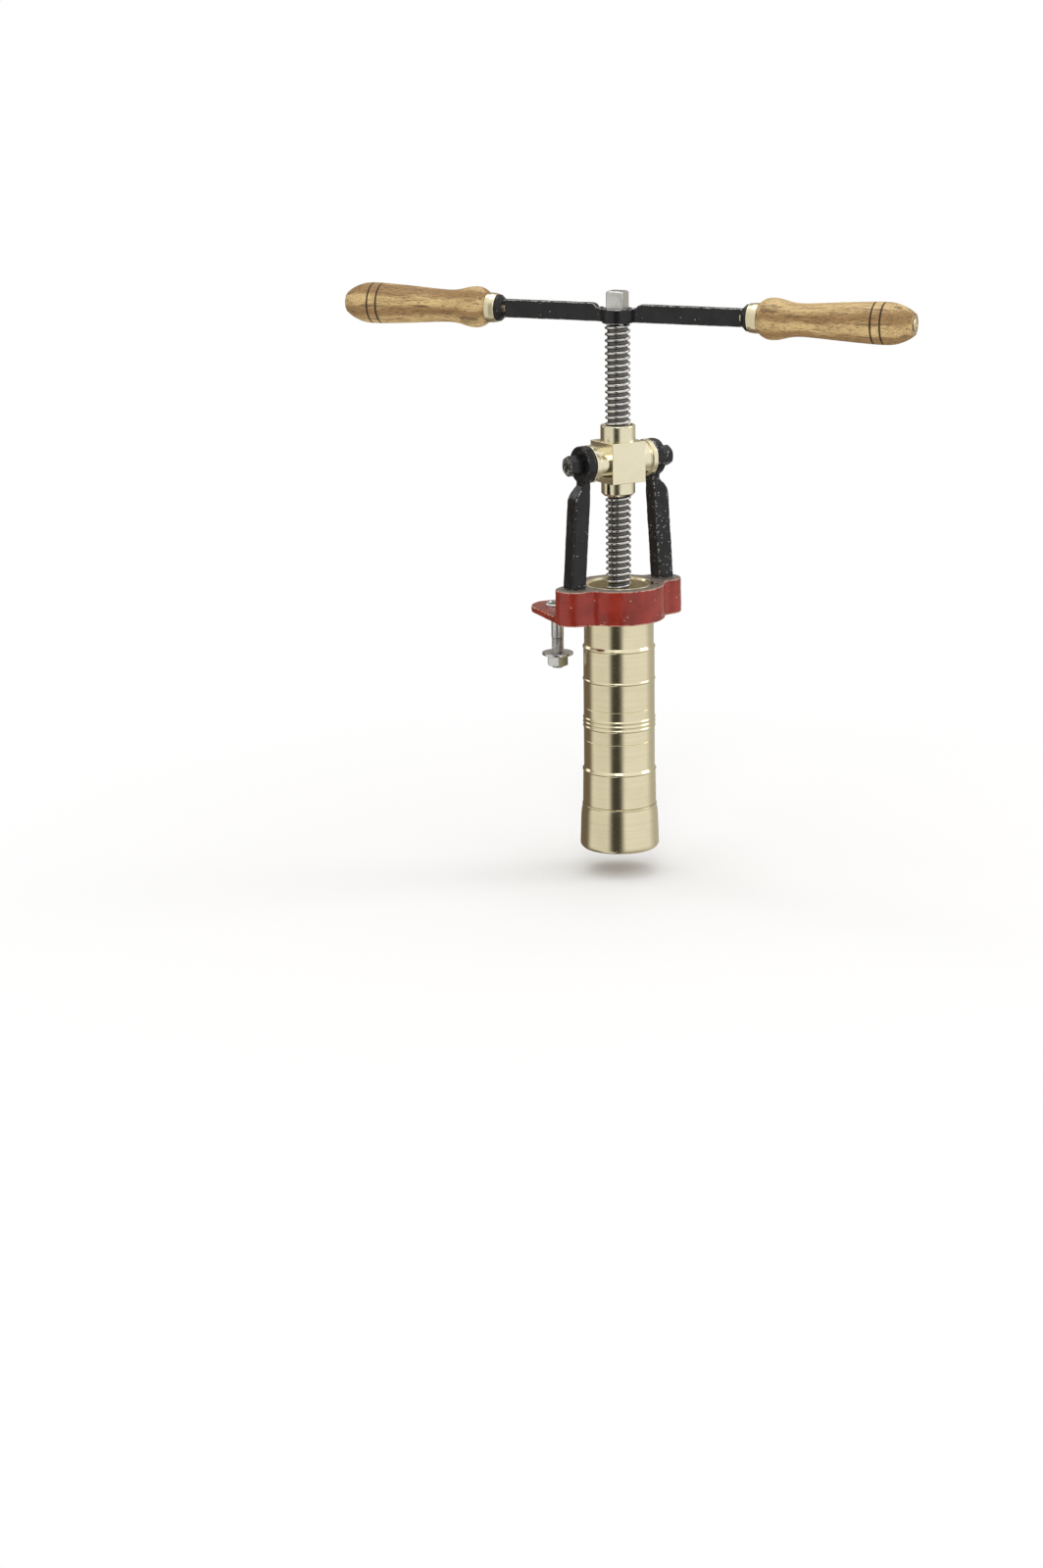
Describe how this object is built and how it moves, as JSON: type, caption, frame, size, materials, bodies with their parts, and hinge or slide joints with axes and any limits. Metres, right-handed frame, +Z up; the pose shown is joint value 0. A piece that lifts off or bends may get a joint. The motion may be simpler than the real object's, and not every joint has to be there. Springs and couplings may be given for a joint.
{
  "type": "hand-screw pasta press",
  "caption": "Bench-mounted pasta press: a T-handled screw turns in a brass nut on two arms and drives a piston down a brass barrel with a die in a ring nut.",
  "frame": {"origin": "on the screw and barrel axis, at the height of the bracket's underside, which sits on the bench", "axes": "+Z up along the screw axis, towards the handle; +Y towards the bench and the bracket's ear; the arms stand at +X and -X"},
  "size_m": [0.3321, 0.4817, 0.5342],
  "materials": {
    "red_paint": "worn gloss",
    "black_paint": "satin, chipped",
    "brass": "polished",
    "bronze": "machined",
    "steel": "turned, oiled",
    "zinc": "satin",
    "wood": "turned and oiled",
    "seal": "matte"
  },
  "bodies": {
    "frame": {"bracket_casting": "red_paint", "barrel": "brass", "press_nut": "brass", "arm_left": "black_paint", "arm_right": "black_paint", "pivot_bolt_left": "black_paint", "pivot_bolt_right": "black_paint", "pivot_lock_nut_left": "black_paint", "pivot_lock_nut_right": "black_paint", "arm_washer_left": "zinc", "arm_washer_right": "zinc", "arm_nut_left": "zinc", "arm_nut_right": "zinc", "bench_bolt_left": "zinc", "bench_bolt_right": "zinc", "bench_washer_left": "zinc", "bench_washer_right": "zinc", "bench_nut_left": "zinc", "bench_nut_right": "zinc"},
    "piston": {"piston_body": "bronze", "piston_seal": "seal", "piston_keeper_front": "steel", "piston_keeper_back": "steel", "keeper_screw_1": "steel", "keeper_screw_2": "steel"},
    "screw": {"lead_screw": "steel", "crank_bar": "black_paint", "collar_left": "black_paint", "collar_right": "black_paint", "end_washer_left": "zinc", "end_washer_right": "zinc"},
    "grip_left": {"grip_left": "wood", "ferrule_left": "brass"},
    "grip_right": {"grip_right": "wood", "ferrule_right": "brass"},
    "die": {"die": "bronze"},
    "ring_nut": {"ring_nut": "brass"}
  },
  "joints": [
    {"name": "press_stroke", "type": "slide", "parent": "frame", "child": "piston", "axis": [0, 0, 1], "range_m": [-0.0946, 0.1951]},
    {"name": "screw_turn", "type": "hinge", "parent": "piston", "child": "screw", "pos_m": [0, 0, 0], "axis": [0, 0, 1], "range_deg": [-5670, 11700]},
    {"name": "grip_left_spin", "type": "hinge", "parent": "screw", "child": "grip_left", "pos_m": [0, 0, 0.28945], "axis": [-0.5563, 0.831, 0], "continuous": true},
    {"name": "grip_right_spin", "type": "hinge", "parent": "screw", "child": "grip_right", "pos_m": [0, 0, 0.28945], "axis": [0.5563, -0.831, 0], "continuous": true},
    {"name": "die_release", "type": "slide", "parent": "frame", "child": "die", "axis": [0, 0, -1], "range_m": [0, 0.0235]},
    {"name": "ring_nut_turn", "type": "hinge", "parent": "die", "child": "ring_nut", "pos_m": [0, 0, -0.2], "axis": [0, 0, -1], "range_deg": [0, 4212]}
  ],
  "couplings": [
    {"joint": "press_stroke", "follows": "screw_turn", "m_per_rad": 0.00095493},
    {"joint": "die_release", "follows": "ring_nut_turn", "m_per_rad": 0.00031831}
  ]
}
